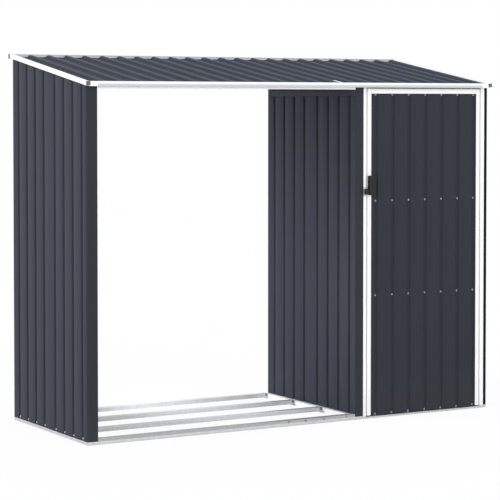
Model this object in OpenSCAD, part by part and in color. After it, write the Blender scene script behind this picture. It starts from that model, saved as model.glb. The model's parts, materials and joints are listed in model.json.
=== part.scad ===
// Garden log store with a tool compartment: ribbed steel sheets on folded steel channels,
// an open log bay on the left and a closed compartment with a hinged door on the right.
// X runs to the right along the front, Y to the back and Z up, in millimetres.

/* [Store] */
// Width over the outer faces of the two end walls
store_w = 2258; // [1900:1:2700]
// Depth of the end walls, from the front plane to the back plane
store_d = 846; // [700:1:1100]
// From the left wall's outer face to the partition's face in the log bay
bay_w = 1456; // [1200:1:1550]
// Height of the roof's underside at the front plane
front_h = 1651; // [1500:1:1900]
// Pitch of the roof in degrees, rising to the back
roof_pitch = 9.2; // [5:0.1:15]

/* [Ribbed sheets] */
// Thickness of the ribbed sheets
sheet_t = 1; // [0.8:0.1:1.5]
// Spacing of the ribs and grooves
rib_spacing = 99.5; // [85:0.1:120]
// Depth of a groove in the walls and the door
groove_depth = 7; // [4:0.5:10]
// Width of a groove's floor
groove_floor = 11; // [8:0.5:16]
// Width of a groove's mouth
groove_mouth = 22; // [18:0.5:30]
// Height of a roof rib
rib_h = 10; // [6:0.5:14]
// Width of a roof rib's crest
rib_crest = 14; // [10:0.5:20]
// Width of a roof rib's foot
rib_foot = 30; // [26:0.5:40]
// From the front plane to the first groove of an end wall
first_groove = 55; // [45:1:70]
// From the back plane to the last groove of an end wall
last_groove = 66; // [45:1:90]
// Width over which the two sheets of an end wall lap
wall_lap = 20; // [10:1:30]
// Least flat beside a row of grooves on the door and the back wall
groove_flat = 3; // [2:0.5:8]
// Shift of the door's grooves towards its hinges
groove_shift = 6.5; // [0:0.5:7]

/* [Base] */
// Thickness of the folded channels
fold_t = 1.2; // [0.8:0.1:2]
// Height of the base channels
sill_h = 15; // [12:0.5:25]
// Height of the partition's base channel
partition_sill_h = 25; // [16:0.5:27]
// Width of the base channels
sill_w = 36; // [32:1:50]
// Ledge of the partition's base channel in the log bay
sill_ledge = 22; // [15:1:30]
// Height of the upstand that the wall sheets are screwed to
upstand_h = 25; // [15:1:40]
// Radius of the ground anchor holes
anchor_r = 4.5; // [3:0.5:6]
// From the front and back planes to the anchor holes
anchor_inset = 120; // [80:1:200]
// From the open edge of a base channel to the anchor holes
anchor_edge = 9; // [8:0.5:15]
// Width of the floor rails
rail_w = 36; // [30:1:60]
// Height of the floor rails' underside above the ground
rail_low = 8; // [4:0.5:11]
// Height of the floor rails' top above the ground
rail_top = 28; // [26:0.5:45]

/* [Front frame] */
// Width of the left wall's front flange
flange_w = 54; // [40:1:70]
// Radius of the left wall's front corner
flange_round = 12; // [4:0.5:18]
// Width of the partition's front flange
partition_flange_w = 47.5; // [36:0.5:60]
// Width of the right wall's front flange beside the door post
right_flange_w = 16; // [10:0.5:25]
// How far the right wall's front flange stands behind the door post's face
right_setback = 12; // [4:0.5:16]
// Width of the left door post
left_post_w = 18.5; // [18:0.5:35]
// Width of the right door post
right_post_w = 23; // [18:0.5:35]
// Depth of the header beams
header_d = 30; // [20:1:45]
// Underside of the front header beams below the roof's underside at the front plane
header_drop = 20; // [12:1:40]
// Height of the beams at the back
back_beam_h = 40; // [25:1:60]
// Height of the tie rail on the partition
tie_h = 31; // [20:1:45]
// Depth of the tie rail on the partition
tie_d = 10; // [6:0.5:20]
// From the back plane to the end of the partition's top rail
tie_inset = 20; // [10:1:25]

/* [Roof trim] */
// Width of the verge channels
verge_w = 14.5; // [12:0.5:35]
// Height of the verge channels
verge_h = 21; // [20:0.5:45]
// Verge channels' underside below the roof's underside
verge_drop = 3; // [1:0.5:10]
// Reach of the eave trim and verges in front of the front plane
eave_reach = 25; // [22:0.5:45]
// Reach of the back trim behind the back plane
back_reach = 20; // [14:0.5:35]
// Height of the upright part of the eave trim's face
eave_face_h = 12; // [8:0.5:14]
// How far the eave trim's upper face leans back
eave_lean = 5; // [3:0.5:8]
// Height of the eave trim's upper face
eave_lean_h = 5.5; // [3:0.5:8]
// How far the eave trim's lip reaches over the roof behind the front plane
eave_lip = 10; // [5:0.5:25]
// Front edge of the roof sheets in front of the front plane
sheet_reach = 10; // [5:0.5:13]
// Width of the cover pieces at the ends of the eave trim
corner_w = 38; // [25:1:60]
// How far the verges' front caps reach over the ends of the eave trim
cap_reach = 8; // [4:0.5:15]
// White rim of the verges around their front caps
cap_rim = 1.5; // [0:0.5:3]
// Width of the eave trim's flap where its two lengths meet
splice_w = 12; // [8:0.5:15]
// Length of that flap on the roof
splice_reach = 75; // [40:1:120]
// How far the splice flap lies on the crest of a rib
splice_lap = 3; // [1:0.5:6]
// Thickness of the caps and covers on the roof trim
cap_t = 1.2; // [0.8:0.1:2]
// Depth of the back trim's skirt below the roof's underside
back_skirt = 5; // [3:0.5:12]
// Height of the back trim's upstand above the rib crests
back_crest = 3; // [1:0.5:6]

/* [Door] */
// Running clearance around the door
door_gap = 5.7; // [5.6:0.1:8]
// Thickness of the door's frame
door_t = 22; // [20:0.5:35]
// Width of the door's stiles
stile_w = 22.5; // [16:0.5:40]
// Height of the door's top rail
top_rail_h = 24; // [18:0.5:50]
// How far the door sheet lies behind the frame's face
sheet_inset = 1.5; // [0.5:0.1:3]
// Height of the cross rails behind the door sheet
cross_h = 30; // [20:1:50]
// Height of the lower middle cross rail
cross_low = 611; // [400:1:750]
// Height of the upper middle cross rail
cross_high = 1081; // [850:1:1250]

/* [Hinges and latch] */
// Height of a hinge
hinge_h = 45; // [35:1:80]
// From the door's top and bottom edges to the middle of the hinges
hinge_inset = 160; // [100:1:250]
// Radius of the hinge barrels
barrel_r = 4.2; // [3.8:0.1:6]
// Radius of the hinge pins
pin_r = 2; // [1.5:0.1:2.5]
// Radial clearance of the pins in the barrels
pin_clearance = 0.06; // [0.03:0.01:0.1]
// Thickness of the hinge leaves
leaf_t = 1.8; // [1:0.1:2]
// Depth of the hinge leaves on the posts and the stiles
leaf_d = 20; // [12:1:20]
// Clearance between the barrels and the frame, and between the two barrels
barrel_clearance = 0.5; // [0.3:0.1:1]
// Height of the middle of the latch case above the ground
latch_z = 1158; // [900:1:1300]
// Height of the latch case
latch_h = 95; // [80:1:130]
// Width of the latch case
latch_w = 40; // [20:1:50]
// Depth of the latch case in front of the door
latch_d = 20; // [15:0.5:21]
// From the door's edge to the latch case
latch_inset = 0.5; // [0.5:0.5:6]
// From the post's left edge to the end of the latch tongue
tongue_inset = 1; // [0.5:0.5:12]
// Height of the latch tongue
tongue_h = 28; // [25:1:60]
// Thickness of the latch tongue
tongue_t = 7; // [4:0.5:8]
// Thickness of the keeper on the post
keeper_t = 2; // [1:0.1:3]
// Margin of the keeper above and below the tongue
keeper_margin = 9; // [2:0.5:10]
// Bevel on the corners of the latch case, tongue and keeper
latch_bevel = 3; // [1:0.5:5]

/* [Hidden] */
$fn = 48;

anthracite = [0.22, 0.24, 0.27];
white = [0.93, 0.93, 0.93];
zinc = [0.72, 0.73, 0.74];
end_grey = [0.35, 0.36, 0.37];
black = [0.08, 0.08, 0.09];

// The box's middle in Y, which goes to the origin
mid_y = (store_d + back_reach - eave_reach) / 2;
rise = tan(roof_pitch);
// Thickness of a roof layer measured straight up
upright = 1 / cos(roof_pitch);
crest_up = (rib_h + sheet_t) * upright;

// Faces that the pieces share
sheet_back = groove_depth + 2 * sheet_t;
partition_right = bay_w + partition_flange_w;
opening_left = partition_right + left_post_w;
opening_right = store_w - right_flange_w - right_post_w;
door_x0 = opening_left + door_gap;
door_x1 = opening_right - door_gap;
threshold_h = sill_h - door_gap;
door_z0 = sill_h;
eave_bend = eave_lean - eave_reach;
eave_low = front_h + eave_bend * rise + crest_up - eave_lean_h - eave_face_h;
door_z1 = eave_low - door_gap;
sheet_x0 = door_x0 + stile_w;
sheet_x1 = door_x1 - stile_w;
beam_y = door_t + door_gap;
header_low = front_h - header_drop;
rail_step = (store_d - rail_w) / 3;

// Roof ribs
roof_steps = round(store_w / rib_spacing);
roof_edge = rib_crest / 2 - sheet_t;
roof_spacing = (store_w - 2 * roof_edge) / roof_steps;
join_ribs = [floor(roof_steps / 3), 2 * floor(roof_steps / 3)];

// Hinge axis
hinge_x = door_x1 + door_gap / 2;
hinge_y = -barrel_r - barrel_clearance;

// Height of the roof's underside at a depth
function roof_z(y) = front_h + y * rise;

// A folded strip: the line's points and the same line set off to its left by t
function unit(v) = v / norm(v);
function left_of(a, b) = [-unit(b - a)[1], unit(b - a)[0]];
function mitre(a, b) = (a + b) / (1 + a * b);
function set_off(line, t) = [
    for (i = [0 : len(line) - 1])
        let (
            into = left_of(line[max(i - 1, 0)], line[max(i, 1)]),
            out = left_of(line[min(i, len(line) - 2)], line[min(i + 1, len(line) - 1)])
        )
        line[i] + t * mitre(into, out)
];
function backwards(list) = [for (i = [len(list) - 1 : -1 : 0]) list[i]];
function strip(line, t) = concat(line, backwards(set_off(line, t)));
function joined(lists) = [for (list = lists) for (item = list) item];
function swapped(points) = [for (p = points) [p[1], p[0]]];

// One groove or rib of a ribbed sheet, as four points around its middle
function folds(middle, crest, foot, height) = [
    [middle - foot / 2, 0],
    [middle - crest / 2, height],
    [middle + crest / 2, height],
    [middle + foot / 2, 0]
];
function groove(middle) = folds(middle, groove_floor, groove_mouth, groove_depth);
function ribbed_line(start, end, middles) =
    concat([[start, 0]], joined([for (m = middles) groove(m)]), [[end, 0]]);
// Grooves centred on a width
function even_grooves(start, end) =
    let (
        steps = floor((end - start - groove_mouth - 2 * groove_flat) / rib_spacing),
        first = (start + end - steps * rib_spacing) / 2
    )
    [for (i = [0 : steps]) first + i * rib_spacing];
function roof_rib_x(i) = roof_edge + i * roof_spacing;
function roof_join(k) = roof_rib_x(join_ribs[k]) + rib_foot / 2 + rib_crest / 2;

// The whole store stands with the middle of its box on the origin
module placed() {
    translate([-store_w / 2, -mid_y, 0])
        children();
}

// A profile in Y and Z, drawn out along X
module along_x(x0, x1) {
    translate([x0, 0, 0])
        rotate([90, 0, 90])
            linear_extrude(x1 - x0)
                children();
}

// A profile in X and Z, drawn out along Y
module along_y(y0, y1) {
    translate([0, y1, 0])
        rotate([90, 0, 0])
            linear_extrude(y1 - y0)
                children();
}

// A plan in X and Y, drawn up from the base channels or another height to the roof's underside
module up_to_roof(low = sill_h) {
    intersection() {
        translate([0, 0, low])
            linear_extrude(roof_z(store_d))
                children();
        along_x(0, store_w)
            polygon([[0, 0], [store_d, 0], [store_d, roof_z(store_d)], [0, roof_z(0)]]);
    }
}

// Mirrors a piece of the front frame to the back of the store
module at_back() {
    translate([0, store_d, 0])
        mirror([0, 1, 0])
            children();
}

// Mirrors a piece of the left wall to the right wall
module at_right() {
    translate([store_w, 0, 0])
        mirror([1, 0, 0])
            children();
}

// Base channels

// Base channel in a plane across its length, closed on the side at 0
module sill_profile(h = sill_h) {
    polygon(strip([[sill_w, h], [0, h], [0, 0], [sill_w, 0]], fold_t));
}

// Upstand behind the foot of a wall's sheets, whose face is at a distance, from a channel's top
module upstand(face, h = sill_h) {
    translate([face + sheet_back, h - fold_t])
        square([fold_t, upstand_h + fold_t]);
}

// Plate that closes the end of a base channel
module sill_end(h = sill_h) {
    square([sill_w, h]);
}

// Holes for the ground anchors in an end wall's base channel
module anchor_holes() {
    for (y = [anchor_inset, store_d - anchor_inset])
        translate([sill_w - anchor_edge, y, -fold_t])
            cylinder(r = anchor_r, h = sill_h + 2 * fold_t);
}

// Base channel of an end wall, with its back end closed if nothing else closes it
module side_sill(y1, closed) {
    difference() {
        union() {
            along_y(sill_w, y1)
                sill_profile();
            along_y(sill_w, min(y1, store_d - beam_y))
                upstand(0);
            if (closed)
                along_y(y1 - fold_t, y1)
                    sill_end();
        }
        anchor_holes();
    }
}

// Front base channel, lower where it is the threshold under the door
module front_sill() {
    color(zinc) placed() {
        along_x(0, opening_left)
            sill_profile();
        along_x(opening_left, opening_right)
            sill_profile(threshold_h);
        along_x(opening_right, store_w)
            sill_profile();
        for (x = [0, opening_left - fold_t, opening_right, store_w - fold_t])
            along_x(x, x + fold_t)
                sill_end();
    }
}

module left_sill() {
    color(zinc) placed()
        side_sill(store_d, true);
}

module right_sill() {
    color(zinc) placed()
        at_right()
            side_sill(store_d - sill_w, false);
}

module partition_sill() {
    color(white) placed() {
        translate([bay_w - sill_ledge, 0, 0]) {
            along_y(sill_w, store_d)
                sill_profile(partition_sill_h);
            along_y(sill_w, store_d - beam_y)
                upstand(sill_ledge, partition_sill_h);
            for (y = [sill_w, store_d - fold_t])
                along_y(y, y + fold_t)
                    sill_end(partition_sill_h);
        }
    }
}

module back_sill() {
    color(zinc) placed()
        at_back() {
            along_x(bay_w - sill_ledge + sill_w, store_w)
                sill_profile();
            along_x(store_w - fold_t, store_w)
                sill_end();
        }
}

// Floor rails of the log bay

// Upturned channel between two heights
module rail_profile(low) {
    polygon(strip([[rail_w, low], [rail_w, rail_top], [0, rail_top], [0, low]], fold_t));
}

// Rail 0 stands on the front base channel, the others run from over the left channel to the partition's
module floor_rail(i) {
    color(zinc) placed()
        if (i == 0)
            along_x(flange_w, bay_w)
                rail_profile(sill_h);
        else
            translate([0, i * rail_step, 0]) {
                along_x(sheet_back + fold_t, bay_w - sill_ledge)
                    rail_profile(sill_h);
                along_x(sill_w, bay_w - sill_ledge)
                    rail_profile(rail_low);
            }
}

module floor_rail_1() floor_rail(0);
module floor_rail_2() floor_rail(1);
module floor_rail_3() floor_rail(2);
module floor_rail_4() floor_rail(3);

// Wall sheets

lap_front = (store_d - wall_lap) / 2;
lap_back = (store_d + wall_lap) / 2;
front_grooves = [for (y = first_groove; y < lap_front - groove_mouth; y = y + rib_spacing) y];
back_grooves = [for (y = last_groove; y < lap_front - groove_mouth; y = y + rib_spacing) store_d - y];

// Front sheet of an end wall from a depth, with its outer face at X 0 and its grooves turned to +X
module wall_front_sheet(start, low = sill_h) {
    up_to_roof(low)
        polygon(swapped(strip(ribbed_line(start, lap_back, front_grooves), sheet_t)));
}

// Back sheet of an end wall, lapped behind the front sheet
module wall_back_sheet(low = sill_h) {
    up_to_roof(low)
        translate([sheet_t, 0])
            polygon(swapped(strip(ribbed_line(lap_front, store_d, backwards(back_grooves)), sheet_t)));
}

// The partition's sheets stand at the log bay's right side
module at_partition() {
    translate([bay_w, 0, 0])
        children();
}

module left_wall_front_sheet() { color(anthracite) placed() wall_front_sheet(beam_y); }
module left_wall_back_sheet() { color(anthracite) placed() wall_back_sheet(); }
module partition_front_sheet() {
    color(anthracite) placed()
        at_partition()
            wall_front_sheet(0, partition_sill_h);
}

module partition_back_sheet() {
    color(anthracite) placed()
        at_partition()
            wall_back_sheet(partition_sill_h);
}

module right_wall_front_sheet() { color(anthracite) placed() at_right() wall_front_sheet(0); }
module right_wall_back_sheet() { color(anthracite) placed() at_right() wall_back_sheet(); }

// Back of the tool compartment, between the back flanges
module back_wall_sheet() {
    x1 = store_w - right_flange_w;
    line = ribbed_line(partition_right, x1, even_grooves(partition_right, x1));
    color(anthracite) placed()
        up_to_roof()
            translate([0, store_d])
                mirror([0, 1])
                    polygon(strip(line, sheet_t));
}

// Flanges, posts and beams

// Plan of a folded flange whose side lies on the wall sheet, with its face at a depth
module flange_plan(x0, x1, face = 0) {
    polygon(strip([[x0, beam_y], [x0, face], [x1, face], [x1, beam_y]], sheet_t));
}

// Plan of the left wall's front flange, which carries on the wall sheet's face around a round corner
module round_flange_plan() {
    corner = [for (a = [0 : 15 : 90]) flange_round * [1 - cos(a), 1 - sin(a)]];
    polygon(strip(concat([[0, beam_y]], corner, [[flange_w, 0], [flange_w, beam_y]]), sheet_t));
}

// A folded flange at the back plane, up to the roof there
module back_flange(x0, x1, low) {
    up_to_roof(low)
        translate([0, store_d])
            mirror([0, 1])
                flange_plan(x0, x1);
}

module left_front_flange() {
    color(anthracite) placed()
        up_to_roof()
            round_flange_plan();
}

module partition_front_flange() {
    color(anthracite) placed()
        up_to_roof()
            flange_plan(bay_w + sheet_t, partition_right);
}

module right_front_flange() {
    color(anthracite) placed()
        at_right()
            up_to_roof()
                flange_plan(sheet_t, right_flange_w, right_setback);
}

// The left back flange stands on the last floor rail, the others on the base channels
module left_back_flange() {
    color(anthracite) placed()
        back_flange(2 * sheet_t, flange_w, rail_top);
}

module partition_back_flange() {
    color(anthracite) placed()
        back_flange(bay_w + 2 * sheet_t, partition_right, partition_sill_h);
}

module right_back_flange() {
    color(anthracite) placed()
        at_right()
            back_flange(2 * sheet_t, right_flange_w, sill_h);
}

// Door post, a channel open to the back
module door_post(x0, w) {
    up_to_roof()
        polygon(strip([[x0, beam_y], [x0, 0], [x0 + w, 0], [x0 + w, beam_y]], fold_t));
}

module left_door_post() { color(white) placed() door_post(partition_right, left_post_w); }
module right_door_post() { color(white) placed() door_post(opening_right, right_post_w); }

// Header beam with its face at a depth, open on its inner side, from a low height up to the roof
module front_beam_profile(face) {
    high = roof_z(face);
    polygon(strip([
        [face + header_d, high], [face, high],
        [face, header_low], [face + header_d, header_low]
    ], fold_t));
}

module back_beam_profile() {
    inner = store_d - beam_y - header_d;
    outer = store_d - beam_y;
    high = roof_z(inner);
    polygon(strip([
        [inner, high - back_beam_h], [outer, high - back_beam_h],
        [outer, high], [inner, high]
    ], fold_t));
}

// The header over the log bay stands between the flanges, the one over the door behind the posts
module bay_header() {
    color(white) placed()
        along_x(flange_w, bay_w)
            front_beam_profile(0);
}

module door_header() {
    color(white) placed()
        along_x(bay_w + sheet_back, store_w - sheet_back)
            front_beam_profile(beam_y);
}

module bay_back_beam() {
    color(white) placed()
        along_x(sheet_back, bay_w)
            back_beam_profile();
}

module back_wall_beam() {
    color(white) placed()
        along_x(bay_w + sheet_back, store_w - sheet_back)
            back_beam_profile();
}

// Level rail with closed ends along the top of the partition's bay face
module partition_tie_rail() {
    low = header_low - tie_h;
    color(anthracite) placed() {
        along_y(0, store_d - tie_inset)
            polygon(strip([
                [bay_w, header_low], [bay_w - tie_d, header_low],
                [bay_w - tie_d, low], [bay_w, low]
            ], fold_t));
        for (y = [0, store_d - tie_inset - fold_t])
            translate([bay_w - tie_d, y, low])
                cube([tie_d, fold_t, tie_h]);
    }
}

// Roof

// Ribbed roof sheet on the sloping underside, as a line across the roof
module roof_sheet(line) {
    front = -sheet_reach * upright;
    back = (store_d + back_reach - 2 * fold_t) * upright;
    color(anthracite) placed()
        translate([0, 0, front_h])
            rotate([roof_pitch, 0, 0])
                along_y(front, back)
                    polygon(strip(line, sheet_t));
}

function roof_ribs(first, last) =
    joined([for (i = [first : last]) folds(roof_rib_x(i), rib_crest, rib_foot, rib_h)]);
// The outermost ribs are half ribs, turned up beside the verges
left_half_rib = [
    [0, rib_h],
    [roof_rib_x(0) + rib_crest / 2, rib_h],
    [roof_rib_x(0) + rib_foot / 2, 0]
];
right_half_rib = [for (p = backwards(left_half_rib)) [store_w - p[0], p[1]]];

module roof_left_sheet() {
    roof_sheet(concat(left_half_rib, roof_ribs(1, join_ribs[0]), [[roof_join(0), 0]]));
}

module roof_middle_sheet() {
    roof_sheet(concat(
        [[roof_join(0), 0]], roof_ribs(join_ribs[0] + 1, join_ribs[1]), [[roof_join(1), 0]]));
}

module roof_right_sheet() {
    roof_sheet(concat([[roof_join(1), 0]], roof_ribs(join_ribs[1] + 1, roof_steps - 1), right_half_rib));
}

// Eave trim: upright face, upper face that leans back, and a lip on the rib crests
lip_up = crest_up + fold_t * upright;

module eave_profile() {
    face = cap_t - eave_reach;
    polygon(strip([
        [eave_lip, roof_z(eave_lip) + lip_up],
        [eave_bend, roof_z(eave_bend) + lip_up],
        [face, eave_low + eave_face_h],
        [face, eave_low],
        [eave_bend, eave_low]
    ], fold_t));
}

// The two lengths meet near the edge of a rib's crest
splice_x = roof_rib_x(join_ribs[1]) + rib_crest / 2 - splice_lap;

module eave_trim_left() {
    color(white) placed()
        along_x(0, splice_x)
            eave_profile();
}

// The right length has a flap that runs up the roof from the lip, on the edge of a rib's crest
module eave_trim_right() {
    flap_y = eave_lip + splice_reach;
    color(white) placed() {
        along_x(splice_x, store_w)
            eave_profile();
        along_x(splice_x, splice_x + splice_w)
            polygon(strip([
                [flap_y, roof_z(flap_y) + lip_up], [eave_lip, roof_z(eave_lip) + lip_up]
            ], fold_t));
    }
}

// Flat covers on the upright face at the two ends of the eave trim
module eave_corner_covers() {
    color(white) placed()
        for (x = [cap_reach, store_w - cap_reach - corner_w])
            translate([x, -eave_reach, eave_low])
                cube([corner_w, cap_t, eave_face_h]);
}

// Side view of a verge channel between two depths, kept in from its top and bottom
module verge_side(y0, y1, inside) {
    low = -verge_drop + inside;
    high = verge_h - verge_drop - inside;
    polygon([
        [y0, roof_z(y0) + low], [y1, roof_z(y1) + low],
        [y1, roof_z(y1) + high], [y0, roof_z(y0) + high]
    ]);
}

// Verge channel outside the left wall, open from end to end
module verge() {
    front = cap_t - eave_reach;
    difference() {
        along_x(-verge_w, 0)
            verge_side(front, store_d, 0);
        along_x(fold_t - verge_w, -fold_t)
            verge_side(front - fold_t, store_d + fold_t, fold_t);
    }
}

module left_verge() { color(white) placed() verge(); }
module right_verge() { color(white) placed() at_right() verge(); }

// Back trim: a ledge under the ends of the roof sheets and an upstand a little higher than the ribs
module back_trim() {
    web = store_d + back_reach - fold_t;
    color(white) placed()
        along_x(cap_t - verge_w, store_w + verge_w - cap_t) {
            polygon(strip([
                [web, roof_z(web)], [store_d, roof_z(store_d)]
            ], fold_t));
            translate([web, roof_z(store_d) - back_skirt])
                square([fold_t, roof_z(web) + crest_up + back_crest - roof_z(store_d) + back_skirt]);
        }
}

// Caps on the front ends of the verges and on the ends of the back trim
module trim_end_caps() {
    back_low = roof_z(store_d) - back_skirt;
    back_high = roof_z(store_d) + verge_h - verge_drop;
    color(end_grey) placed()
        for (side = [0, 1])
            translate([side * store_w, 0, 0])
                mirror([side, 0, 0]) {
                    along_x(cap_rim - verge_w, cap_reach)
                        verge_side(-eave_reach, cap_t - eave_reach, cap_rim);
                    translate([-verge_w, store_d, back_low])
                        cube([cap_t, back_reach, back_high - back_low]);
                }
}

// Hinges

// Heights of the middles of the two hinges
hinge_heights = [door_z0 + hinge_inset, door_z1 - hinge_inset];

// Leaf of a hinge beside the gap, and the neck that carries its barrel, from the hinge's middle
module hinge_leaf(x, low, high) {
    translate([x, 0, -hinge_h / 2])
        cube([leaf_t, leaf_d, hinge_h]);
    translate([x, hinge_y, low])
        cube([leaf_t, -hinge_y, high - low]);
}

// Lower barrels on the right door post, with the pins
module frame_hinge_leaves() {
    color(white) placed()
        for (z = hinge_heights)
            translate([0, 0, z]) {
                hinge_leaf(opening_right - leaf_t, -hinge_h / 2, -barrel_clearance / 2);
                translate([hinge_x, hinge_y, -hinge_h / 2]) {
                    cylinder(r = barrel_r, h = hinge_h / 2 - barrel_clearance / 2);
                    cylinder(r = pin_r, h = hinge_h);
                }
            }
}

// Upper barrels on the door's right stile, which turn on the pins
module door_hinge_leaves() {
    color(white) placed()
        for (z = hinge_heights)
            translate([0, 0, z])
                difference() {
                    union() {
                        hinge_leaf(door_x1, barrel_clearance / 2, hinge_h / 2);
                        translate([hinge_x, hinge_y, barrel_clearance / 2])
                            cylinder(r = barrel_r, h = hinge_h / 2 - barrel_clearance / 2);
                    }
                    translate([hinge_x, hinge_y, -hinge_h])
                        cylinder(r = pin_r + pin_clearance, h = 2 * hinge_h);
                }
}

// Door

// Stile, a channel open to the back
module stile(x0) {
    color(white) placed()
        translate([0, 0, door_z0])
            linear_extrude(door_z1 - door_z0)
                polygon(strip([[x0, door_t], [x0, 0], [x0 + stile_w, 0], [x0 + stile_w, door_t]], fold_t));
}

module door_left_stile() stile(door_x0);
module door_right_stile() stile(sheet_x1);

module door_top_rail() {
    low = door_z1 - top_rail_h;
    color(white) placed()
        along_x(sheet_x0, sheet_x1)
            polygon(strip([[door_t, door_z1], [0, door_z1], [0, low], [door_t, low]], fold_t));
}

door_grooves = [for (x = even_grooves(sheet_x0, sheet_x1)) x + groove_shift];

// Ribbed sheet between the stiles, under the top rail
module door_sheet() {
    color(anthracite) placed()
        translate([0, sheet_inset, door_z0])
            linear_extrude(door_z1 - top_rail_h - door_z0)
                polygon(strip(ribbed_line(sheet_x0, sheet_x1, door_grooves), sheet_t));
}

// Cross rails behind the door sheet, which its screws go into
module door_cross_rails() {
    face = sheet_inset + groove_depth + sheet_t;
    top = door_z1 - top_rail_h - cross_h;
    color(white) placed()
        for (low = [door_z0, cross_low - cross_h / 2, cross_high - cross_h / 2, top])
            along_x(sheet_x0, sheet_x1)
                polygon(strip([
                    [door_t, low + cross_h], [face, low + cross_h], [face, low], [door_t, low]
                ], fold_t));
}

// Latch

latch_low = latch_z - latch_h / 2;
latch_x0 = door_x0 + latch_inset;

// Upright plate with bevelled corners, between two depths in front of the door
module bevelled_plate(x, z, w, h, y0, y1) {
    translate([x, 0, z])
        along_y(y0, y1)
            polygon([
                [latch_bevel, 0], [w - latch_bevel, 0], [w, latch_bevel], [w, h - latch_bevel],
                [w - latch_bevel, h], [latch_bevel, h], [0, h - latch_bevel], [0, latch_bevel]
            ]);
}

module latch_case() {
    color(black) placed()
        bevelled_plate(latch_x0, latch_low, latch_w, latch_h, -latch_d, 0);
}

// Tongue from the case's lower half over the left door post, clear of the keeper
module latch_tongue() {
    back = -keeper_t - door_gap;
    color(black) placed()
        translate([partition_right + tongue_inset, back - tongue_t, latch_low + latch_bevel])
            cube([latch_x0 - partition_right - tongue_inset, tongue_t, tongue_h]);
}

// Plate on the left door post that the tongue closes in front of
module latch_keeper() {
    color(zinc) placed()
        bevelled_plate(partition_right, latch_low + latch_bevel - keeper_margin,
            left_post_w, tongue_h + 2 * keeper_margin, -keeper_t, 0);
}

front_sill();
left_sill();
partition_sill();
right_sill();
back_sill();
floor_rail_1();
floor_rail_2();
floor_rail_3();
floor_rail_4();
left_wall_front_sheet();
left_wall_back_sheet();
partition_front_sheet();
partition_back_sheet();
right_wall_front_sheet();
right_wall_back_sheet();
back_wall_sheet();
left_front_flange();
partition_front_flange();
right_front_flange();
left_back_flange();
partition_back_flange();
right_back_flange();
left_door_post();
right_door_post();
bay_header();
door_header();
bay_back_beam();
back_wall_beam();
partition_tie_rail();
roof_left_sheet();
roof_middle_sheet();
roof_right_sheet();
eave_trim_left();
eave_trim_right();
eave_corner_covers();
left_verge();
right_verge();
back_trim();
trim_end_caps();
frame_hinge_leaves();
latch_keeper();
door_left_stile();
door_right_stile();
door_top_rail();
door_cross_rails();
door_sheet();
door_hinge_leaves();
latch_case();
latch_tongue();
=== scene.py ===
# %% [markdown]
# # A ribbed steel log store
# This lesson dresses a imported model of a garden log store: a lean-to of coated steel sheets on folded
# channels, with an open bay for logs and a closed compartment behind a hinged door.
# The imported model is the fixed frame. Nothing in it is moved: sheets and channels get formed folds, the
# small fixings are modelled, every surface gets a finish, and then light and camera are set up.

# %% Load the frame
import json
import math
import bmesh
import bpy
from mathutils import Matrix, Vector

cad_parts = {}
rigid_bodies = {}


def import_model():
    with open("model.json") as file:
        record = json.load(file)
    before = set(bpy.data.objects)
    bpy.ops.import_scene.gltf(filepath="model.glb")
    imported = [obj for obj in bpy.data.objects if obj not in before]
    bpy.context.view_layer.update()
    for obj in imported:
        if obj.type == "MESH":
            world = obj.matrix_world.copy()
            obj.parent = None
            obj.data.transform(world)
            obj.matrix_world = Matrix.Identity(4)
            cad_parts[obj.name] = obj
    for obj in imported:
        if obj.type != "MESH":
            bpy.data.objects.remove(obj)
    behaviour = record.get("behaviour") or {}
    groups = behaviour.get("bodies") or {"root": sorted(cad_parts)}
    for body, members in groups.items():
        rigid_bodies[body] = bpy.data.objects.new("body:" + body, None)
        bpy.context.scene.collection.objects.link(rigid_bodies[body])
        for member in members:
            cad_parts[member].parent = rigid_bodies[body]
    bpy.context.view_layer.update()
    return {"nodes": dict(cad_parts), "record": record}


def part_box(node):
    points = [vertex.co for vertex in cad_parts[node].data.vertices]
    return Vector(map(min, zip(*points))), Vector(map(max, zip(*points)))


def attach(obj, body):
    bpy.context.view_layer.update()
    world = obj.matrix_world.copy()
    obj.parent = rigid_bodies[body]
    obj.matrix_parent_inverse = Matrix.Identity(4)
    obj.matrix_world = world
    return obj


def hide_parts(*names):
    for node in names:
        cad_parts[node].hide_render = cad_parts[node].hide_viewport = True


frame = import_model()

MM = 0.001
nodes = frame["nodes"]
slot_of = {part["node"]: part["material_slot"] for part in frame["record"]["subparts"]}
bodies = frame["record"]["behaviour"]["bodies"]
body_of = {node: body for body, members in bodies.items() for node in members}

# %% [markdown]
# ## Working by hand from a script
# Operators act on whatever is selected, as they do under the mouse. Short helpers keep that in order: one
# leaves a single object selected, one opens edit mode on it with nothing selected, and one leaves edit mode
# again. The last one sets smooth shading. Everything else in the lesson leans on them.

# %% Selection helpers
def only(piece):
    """Leaves one object selected and active."""
    bpy.ops.object.select_all(action="DESELECT")
    piece.select_set(True)
    bpy.context.view_layer.objects.active = piece


def open_edit(piece, element):
    """Opens edit mode on one object with nothing selected, for vertices, edges or faces."""
    only(piece)
    bpy.ops.object.mode_set(mode="EDIT")
    bpy.ops.mesh.select_mode(type=element)
    bpy.ops.mesh.select_all(action="DESELECT")
    return bmesh.from_edit_mesh(piece.data)


def close_edit():
    """Leaves edit mode, so that the mesh is written back."""
    bpy.ops.object.mode_set(mode="OBJECT")


SMOOTH_ANGLE = math.radians(35.0)


def shade(piece):
    """Smooth shading that breaks at edges sharper than an angle."""
    only(piece)
    bpy.ops.object.shade_smooth_by_angle(angle=SMOOTH_ANGLE)


bpy.ops.object.select_all(action="DESELECT")
print("selected after the load:", len(bpy.context.selected_objects))

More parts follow.
